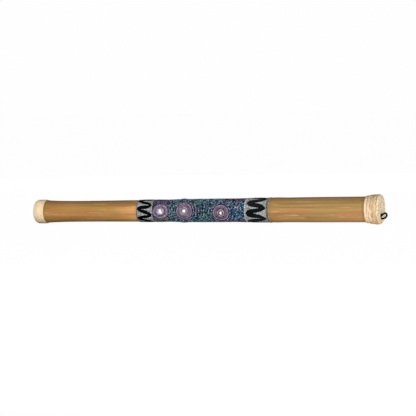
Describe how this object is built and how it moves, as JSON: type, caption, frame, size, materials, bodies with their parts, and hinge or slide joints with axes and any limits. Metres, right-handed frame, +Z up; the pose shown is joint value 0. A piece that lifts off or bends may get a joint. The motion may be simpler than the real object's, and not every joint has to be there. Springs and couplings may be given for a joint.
{
  "type": "rainstick",
  "caption": "Sealed bamboo tube with inner pegs and loose seeds, a dot-painted sand band, cane-bound ends and a short hanging loop.",
  "frame": {"origin": "on the tube's axis, halfway between the two end faces", "axes": "+X along the tube towards the end with the hanging loop, +Z up, -Y towards the painted front"},
  "size_m": [1.0185, 0.0806, 0.0806],
  "materials": {
    "bamboo": "clear satin varnish over golden bamboo, fine lengthwise fibres",
    "peg": "split bamboo, cut flush and varnished over",
    "end_wood": "plain sawn softwood",
    "cane": "bare pale cane, matt with a slight sheen",
    "cord": "waxed black cord",
    "seed": "dry brown seeds",
    "field_sand": "near-black paint on a coat of fine sand",
    "border_sand": "silver-grey paint on a coat of fine sand",
    "black_paint": "thick matt black paint",
    "pale_paint": "thick matt pale paint dots",
    "mauve_paint": "thick matt mauve paint dots",
    "white_paint": "thick matt white paint"
  },
  "bodies": {
    "stick": {"bamboo_tube": "bamboo", "peg_turn_1": "peg", "peg_turn_2": "peg", "peg_turn_3": "peg", "peg_turn_4": "peg", "peg_turn_5": "peg", "peg_turn_6": "peg", "peg_turn_7": "peg", "peg_turn_8": "peg", "peg_turn_9": "peg", "left_end_disc": "end_wood", "right_end_disc": "end_wood", "left_end_cover": "cane", "right_end_cover": "cane", "left_cane_strip_1": "cane", "left_cane_strip_2": "cane", "left_cane_strip_3": "cane", "left_cane_strip_4": "cane", "right_cane_turn_1": "cane", "right_cane_turn_2": "cane", "right_cane_turn_3": "cane", "right_cane_turn_4": "cane", "right_cane_turn_5": "cane", "right_cane_turn_6": "cane", "right_cane_turn_7": "cane", "right_edge_lacing": "cane", "loop_tails": "cord", "loop_knot": "cord", "left_border_coat": "border_sand", "dot_field_coat": "field_sand", "right_border_coat": "border_sand", "left_edge_line": "pale_paint", "field_dot_ring": "pale_paint", "right_border_ring": "pale_paint", "left_zigzag": "black_paint", "right_zigzag": "black_paint", "rosette_rings": "mauve_paint", "rosette_cores": "white_paint"},
    "seeds": {"grain_charge": "seed"},
    "loop": {"hanging_loop": "cord"}
  },
  "joints": [
    {"name": "seed_run", "type": "slide", "parent": "stick", "child": "seeds", "axis": [1, 0, 0], "range_m": [0, 0.894]},
    {"name": "loop_swing", "type": "hinge", "parent": "stick", "child": "loop", "pos_m": [0.5, -0.01, -0.0166], "axis": [0, 0.6983, -0.7158], "range_deg": [-12, 40]}
  ]
}
